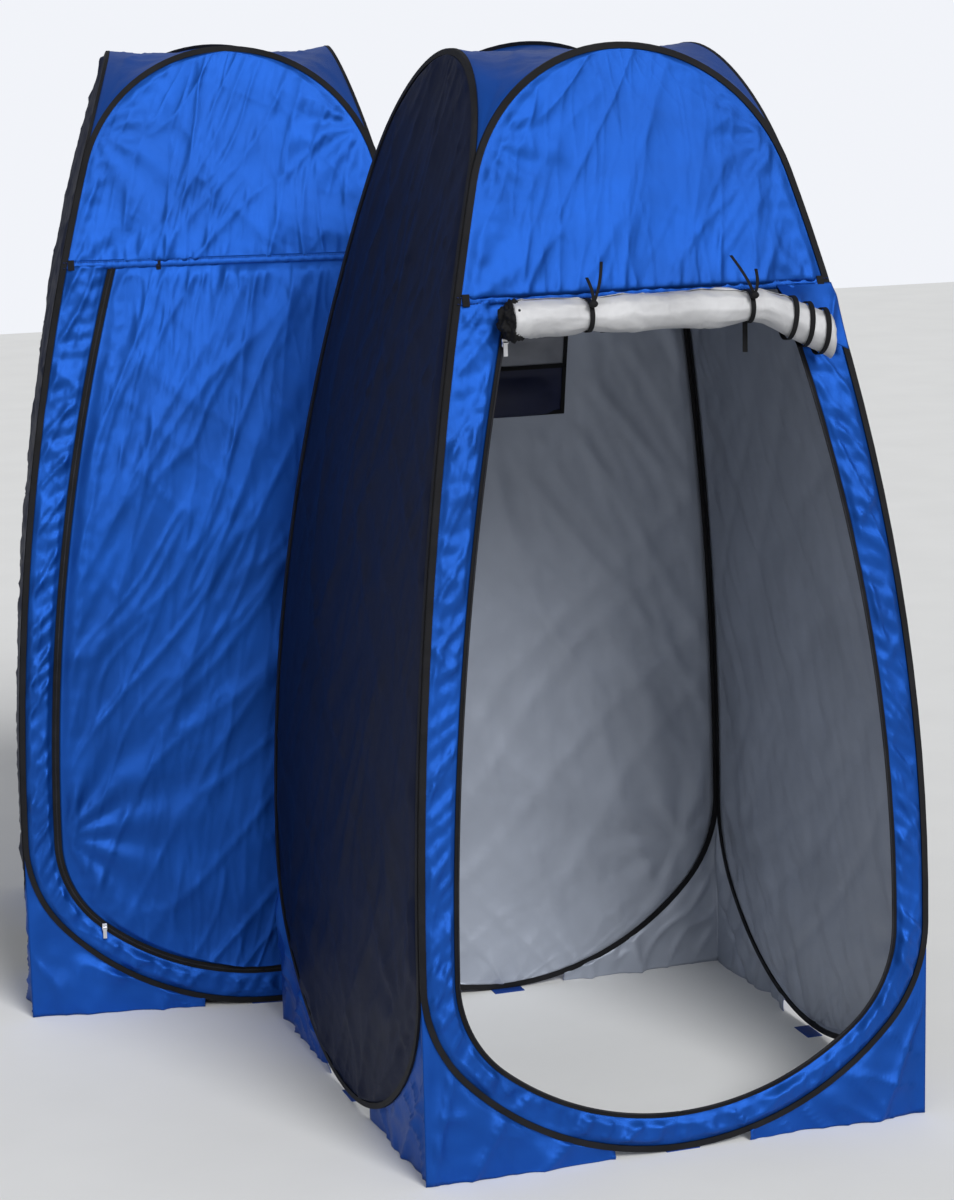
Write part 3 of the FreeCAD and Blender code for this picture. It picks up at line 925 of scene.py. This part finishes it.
class TentStageSettings(bpy.types.PropertyGroup):
    """Floor, lights and camera."""
    floor_size: FloatProperty(name="Floor", description="Width of the pale floor", default=30.0,
                              min=5.0, unit="LENGTH")
    key_light: FloatProperty(name="Key light", description="Strength of the main light",
                             default=2.6, min=0.0)
    fill_light: FloatProperty(name="Fill light", description="Strength of the light from the left",
                              default=0.35, min=0.0)
    sky: FloatProperty(name="Sky light", description="Strength of the even light from all round",
                       default=0.38, min=0.0)
    lens: FloatProperty(name="Lens", description="Focal length on a 36 mm high picture",
                        default=89.0, min=10.0, unit="CAMERA")


class TENT_OT_walls(bpy.types.Operator):
    """Lay the side and back walls of both rooms"""
    bl_idname = "tent.walls"
    bl_label = "Walls"

    def execute(self, context):
        for room in ROOMS:
            for side in ("right", "back", "left"):
                make_wall(room, side)
        return {"FINISHED"}


class TENT_OT_fronts(bpy.types.Operator):
    """Lay the header, its hem and the border round each doorway"""
    bl_idname = "tent.fronts"
    bl_label = "Fronts"

    def execute(self, context):
        for room in ROOMS:
            make_header(room)
            make_hem(room)
            make_stitches(room)
            make_border(room)
        return {"FINISHED"}


class TENT_OT_door_flap(bpy.types.Operator):
    """Hang the zipped door of the closed room"""
    bl_idname = "tent.door_flap"
    bl_label = "Door flap"

    def execute(self, context):
        make_flap("closed_room")
        return {"FINISHED"}


class TENT_OT_roofs(bpy.types.Operator):
    """Stretch the roofs between the top arcs"""
    bl_idname = "tent.roofs"
    bl_label = "Roofs"

    def execute(self, context):
        for room in ROOMS:
            make_roof(room)
        return {"FINISHED"}


class TENT_OT_gussets(bpy.types.Operator):
    """Fill the corners between the hoops and the ground"""
    bl_idname = "tent.gussets"
    bl_label = "Corner gussets"

    def execute(self, context):
        for room in ROOMS:
            make_gussets(room)
        return {"FINISHED"}


class TENT_OT_rolled_door(bpy.types.Operator):
    """Wind up the open room's door and tie it"""
    bl_idname = "tent.rolled_door"
    bl_label = "Rolled door"

    def execute(self, context):
        make_rolled_door()
        make_roll_details()
        make_door_corner()
        return {"FINISHED"}


class TENT_OT_pocket(bpy.types.Operator):
    """Sew the pocket inside the open room"""
    bl_idname = "tent.pocket"
    bl_label = "Pocket"

    def execute(self, context):
        make_pocket()
        make_pocket_binding()
        return {"FINISHED"}


class TENT_OT_zips(bpy.types.Operator):
    """Lay the zip coils and finish the bindings, tapes, tabs and sliders"""
    bl_idname = "tent.zips"
    bl_label = "Zips and trim"

    def execute(self, context):
        for room in ROOMS:
            make_coil(room)
        finish_carried()
        return {"FINISHED"}


def add_sun(name, strength, spread, bearing, elevation, colour=(1, 1, 1)):
    """An even light from far away: bearing in degrees towards +X from the front."""
    data = bpy.data.lights.new(name, "SUN")
    data.energy, data.angle, data.color = strength, math.radians(spread), colour
    light = bpy.data.objects.new(name, data)
    light.rotation_euler = (math.radians(90 - elevation), 0, math.radians(bearing))
    bpy.context.scene.collection.objects.link(light)


def add_camera(lens):
    """Camera a little above the tent's top, ahead of the open room and to its left."""
    data = bpy.data.cameras.new("camera")
    data.lens = lens
    data.sensor_width = 36.0
    camera = bpy.data.objects.new("camera", data)
    pan, pitch, roll = math.radians(-18.4), math.radians(11.2), math.radians(-1.29)
    turn = Matrix.Rotation(pan, 4, "Z") @ Matrix.Rotation(math.pi / 2 - pitch, 4, "X")
    camera.matrix_world = Matrix.Translation((-1.826, -6.227, 2.188)) @ turn @ Matrix.Rotation(roll, 4, "Z")
    bpy.context.scene.collection.objects.link(camera)
    bpy.context.scene.camera = camera


def stage_material(name, colour):
    """Pale matt studio paper with a faint mottle."""
    material, tree, shader = new_material(name)
    mottle = node(tree, "ShaderNodeTexNoise", Scale=3.0, Detail=6.0)
    place = tree.nodes.new("ShaderNodeTexCoord")
    tree.links.new(place.outputs["Object"], mottle.inputs["Vector"])
    darker = tuple(c * 0.96 for c in colour)
    two_tone(tree, mottle.outputs["Fac"], darker, colour, shader.inputs["Base Color"])
    shader.inputs["Roughness"].default_value = 0.85
    return material


class TENT_OT_stage(bpy.types.Operator):
    """Set the floor, the lights and the camera"""
    bl_idname = "tent.stage"
    bl_label = "Stage"

    def execute(self, context):
        stage = context.scene.tent_stage
        bm = bmesh.new()
        bmesh.ops.create_grid(bm, x_segments=1, y_segments=1, size=stage.floor_size / 2)
        mesh = bpy.data.meshes.new("floor")
        bm.to_mesh(mesh)
        bm.free()
        mesh.materials.append(stage_material("studio_floor", (0.80, 0.80, 0.785)))
        floor = bpy.data.objects.new("floor", mesh)
        context.scene.collection.objects.link(floor)
        world = bpy.data.worlds.new("studio")
        world.use_nodes = True
        background = world.node_tree.nodes["Background"]
        background.inputs["Color"].default_value = (0.93, 0.95, 1.0, 1)
        tell = world.node_tree.nodes.new("ShaderNodeLightPath")
        strength = world.node_tree.nodes.new("ShaderNodeMapRange")
        strength.inputs["To Min"].default_value = stage.sky
        strength.inputs["To Max"].default_value = 0.95
        world.node_tree.links.new(tell.outputs["Is Camera Ray"], strength.inputs["Value"])
        world.node_tree.links.new(strength.outputs["Result"], background.inputs["Strength"])
        context.scene.world = world
        add_sun("key", stage.key_light, 24.0, 9.0, 36.0)
        add_sun("fill", stage.fill_light, 50.0, -35.0, 24.0, (0.94, 0.97, 1.0))
        add_camera(stage.lens)
        context.scene.view_settings.view_transform = "Standard"
        return {"FINISHED"}


class TENT_PT_panel(bpy.types.Panel):
    """Build the tent piece by piece"""
    bl_idname = "TENT_PT_panel"
    bl_label = "Pop-up shower tent"
    bl_space_type = "VIEW_3D"
    bl_region_type = "UI"
    bl_category = "Tent"

    def draw(self, context):
        for group in (context.scene.tent_cloth, context.scene.tent_stage):
            for name in group.__annotations__:
                self.layout.prop(group, name)
        for operator in OPERATORS:
            self.layout.operator(operator.bl_idname)


OPERATORS = (TENT_OT_stage, TENT_OT_walls, TENT_OT_fronts, TENT_OT_door_flap, TENT_OT_roofs,
             TENT_OT_gussets, TENT_OT_rolled_door, TENT_OT_pocket, TENT_OT_zips)
CLASSES = (TentClothSettings, TentStageSettings, *OPERATORS, TENT_PT_panel)


def register():
    for cls in CLASSES:
        bpy.utils.register_class(cls)
    bpy.types.Scene.tent_cloth = PointerProperty(type=TentClothSettings)
    bpy.types.Scene.tent_stage = PointerProperty(type=TentStageSettings)


def unregister():
    del bpy.types.Scene.tent_stage
    del bpy.types.Scene.tent_cloth
    for cls in reversed(CLASSES):
        bpy.utils.unregister_class(cls)


def main():
    """Build everything in order."""
    register()
    bpy.ops.tent.stage()
    bpy.ops.tent.walls()
    bpy.ops.tent.fronts()
    bpy.ops.tent.door_flap()
    bpy.ops.tent.roofs()
    bpy.ops.tent.gussets()
    bpy.ops.tent.rolled_door()
    bpy.ops.tent.pocket()
    bpy.ops.tent.zips()


if __name__ == "__main__":
    main()
